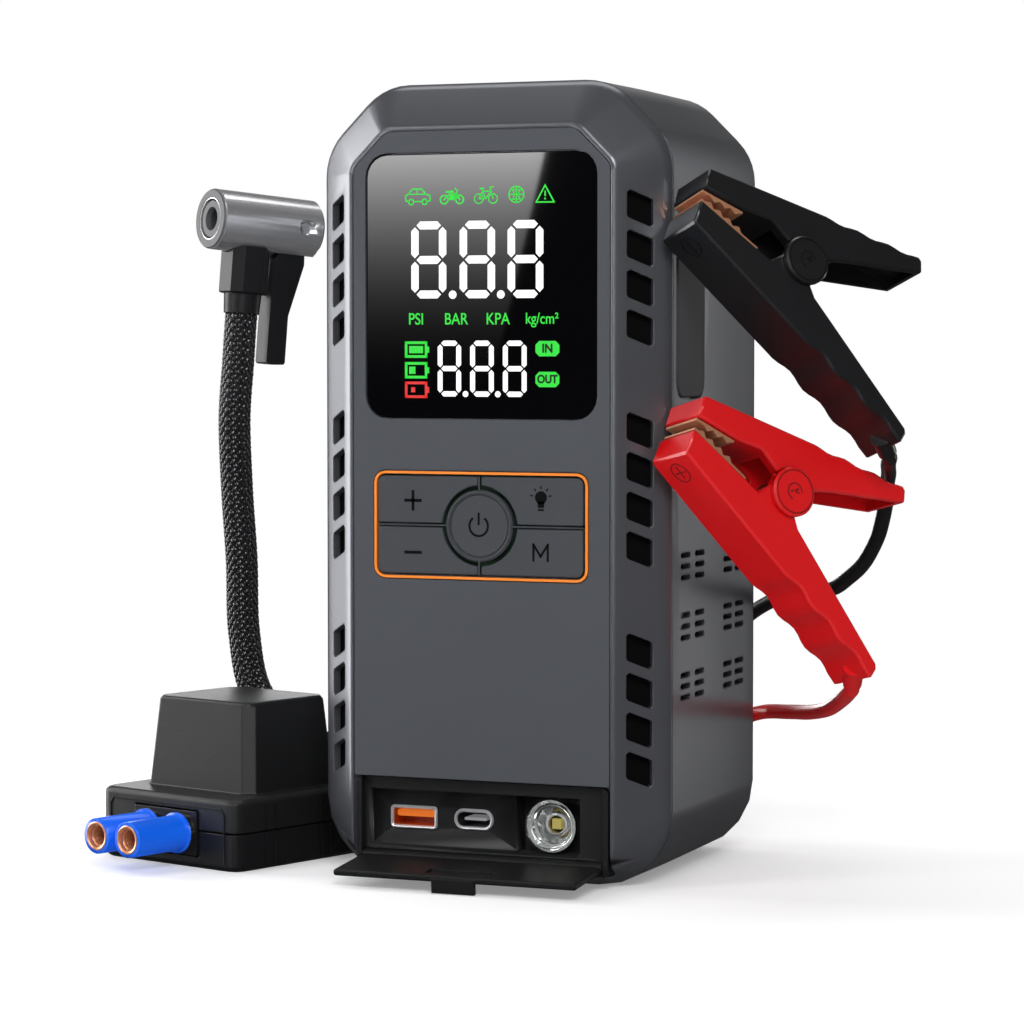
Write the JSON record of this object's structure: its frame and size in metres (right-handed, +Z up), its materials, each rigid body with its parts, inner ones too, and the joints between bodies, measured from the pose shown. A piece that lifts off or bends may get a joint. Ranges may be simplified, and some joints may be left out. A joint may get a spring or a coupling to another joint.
{
  "type": "jump starter pack",
  "caption": "Upright jump starter pack with tyre pump: display, keypad, drop-down port cover, air hose with lever chuck, and a jumper lead with plug module and two spring clamps.",
  "frame": {"origin": "middle of the power unit's base, on the surface it stands on, level with the middle of its width and at the parting of front and back masses", "axes": "+Z up; -Y out of the display front; +X to the unit's right side as seen from the front, where the clamps stand"},
  "size_m": [0.2348, 0.1325, 0.2215],
  "materials": {
    "bezel": "satin dark grey moulding with a slight metallic fleck",
    "panel": "fine matt dark grey",
    "black_plastic": "fine matt black",
    "vent_black": "dull black",
    "display": "glossy black display window",
    "board": "green circuit board",
    "key": "matt grey silicone key",
    "orange": "orange trim",
    "port_metal": "bright plated steel",
    "port_orange": "orange insulator",
    "chrome": "mirror-bright reflector",
    "clear_lens": "clear lens",
    "led": "yellow phosphor",
    "grey_rubber": "matt dark grey rubber",
    "cell_wrap": "blue film wrap",
    "steel": "spring steel",
    "bright_metal": "satin plated metal",
    "hose_braid": "black braided rubber hose",
    "plug_blue": "bright blue",
    "copper": "copper plated",
    "clamp_black": "fine matt black",
    "clamp_red": "semi-gloss red",
    "cable_black": "black cable jacket",
    "cable_red": "red cable jacket"
  },
  "bodies": {
    "unit": {"air_hose": "hose_braid", "air_outlet": "steel", "back_shell": "bezel", "battery_pack": "cell_wrap", "cable_black": "cable_black", "cable_grommet": "grey_rubber", "cable_red": "cable_red", "chuck_body": "bright_metal", "chuck_seal": "grey_rubber", "chuck_sleeve": "black_plastic", "clamp_black_lower": "clamp_black", "clamp_black_pivot": "clamp_black", "clamp_black_spring": "steel", "clamp_red_lower": "clamp_red", "clamp_red_pivot": "clamp_red", "clamp_red_spring": "steel", "cover_pin": "steel", "display_board": "board", "display_lens": "display", "front_panel": "panel", "front_shell": "bezel", "grille_left": "vent_black", "grille_right": "vent_black", "hose_nut": "black_plastic", "jaw_black_lower": "copper", "jaw_red_lower": "copper", "jump_socket": "black_plastic", "key_trim": "orange", "lamp_led": "led", "lamp_lens": "clear_lens", "lamp_reflector": "chrome", "lever_pin": "steel", "main_board": "board", "module_base": "black_plastic", "module_cover": "black_plastic", "plug_contact_far": "copper", "plug_contact_near": "copper", "plug_housing": "plug_blue", "port_bay": "black_plastic", "pump_cylinder": "bright_metal", "pump_motor": "steel", "usb_a_shell": "port_metal", "usb_a_tongue": "port_orange", "usb_c_shell": "port_metal", "usb_c_tongue": "black_plastic"},
    "port_cover": {"port_cover": "black_plastic"},
    "jump_cover": {"jump_cover": "grey_rubber"},
    "chuck_lever": {"chuck_lever": "black_plastic"},
    "clamp_black_upper": {"clamp_black_upper": "clamp_black", "jaw_black_upper": "copper"},
    "clamp_red_upper": {"clamp_red_upper": "clamp_red", "jaw_red_upper": "copper"},
    "key_plus": {"key_plus": "key"},
    "key_minus": {"key_minus": "key"},
    "key_light": {"key_light": "key"},
    "key_mode": {"key_mode": "key"},
    "key_power": {"key_power": "key"}
  },
  "joints": [
    {"name": "port_cover_hinge", "type": "hinge", "parent": "unit", "child": "port_cover", "pos_m": [0, -0.0309, 0.006], "axis": [-1, 0, 0], "range_deg": [0, 94.69]},
    {"name": "jump_cover_hinge", "type": "hinge", "parent": "unit", "child": "jump_cover", "pos_m": [0.0518, -0.017, 0.15775], "axis": [0, 0, -1], "range_deg": [0, 40], "stiffness_Nm_per_rad": 0.002, "springref_deg": -5.73},
    {"name": "chuck_lever_hinge", "type": "hinge", "parent": "unit", "child": "chuck_lever", "pos_m": [-0.09716, 0.0508, 0.18468], "axis": [0.829, -0.5592, 0], "range_deg": [0, 90]},
    {"name": "key_plus_press", "type": "slide", "parent": "unit", "child": "key_plus", "axis": [0, 1, 0], "range_m": [0, 0.0008], "stiffness_N_per_m": 400, "springref_m": -0.0006},
    {"name": "key_minus_press", "type": "slide", "parent": "unit", "child": "key_minus", "axis": [0, 1, 0], "range_m": [0, 0.0008], "stiffness_N_per_m": 400, "springref_m": -0.0006},
    {"name": "key_light_press", "type": "slide", "parent": "unit", "child": "key_light", "axis": [0, 1, 0], "range_m": [0, 0.0008], "stiffness_N_per_m": 400, "springref_m": -0.0006},
    {"name": "key_mode_press", "type": "slide", "parent": "unit", "child": "key_mode", "axis": [0, 1, 0], "range_m": [0, 0.0008], "stiffness_N_per_m": 400, "springref_m": -0.0006},
    {"name": "key_power_press", "type": "slide", "parent": "unit", "child": "key_power", "axis": [0, 1, 0], "range_m": [0, 0.0008], "stiffness_N_per_m": 400, "springref_m": -0.0006},
    {"name": "clamp_black_squeeze", "type": "hinge", "parent": "unit", "child": "clamp_black_upper", "pos_m": [0.0803, -0.0078, 0.1689], "axis": [-0.7585, 0.5727, -0.3111], "range_deg": [0, 28], "stiffness_Nm_per_rad": 0.4, "springref_deg": -45.84, "deforming": ["clamp_black_spring"]},
    {"name": "clamp_red_squeeze", "type": "hinge", "parent": "unit", "child": "clamp_red_upper", "pos_m": [0.077, -0.0098, 0.1074], "axis": [-0.8025, 0.5595, -0.2074], "range_deg": [0, 28], "stiffness_Nm_per_rad": 0.4, "springref_deg": -45.84, "deforming": ["clamp_red_spring"]}
  ]
}
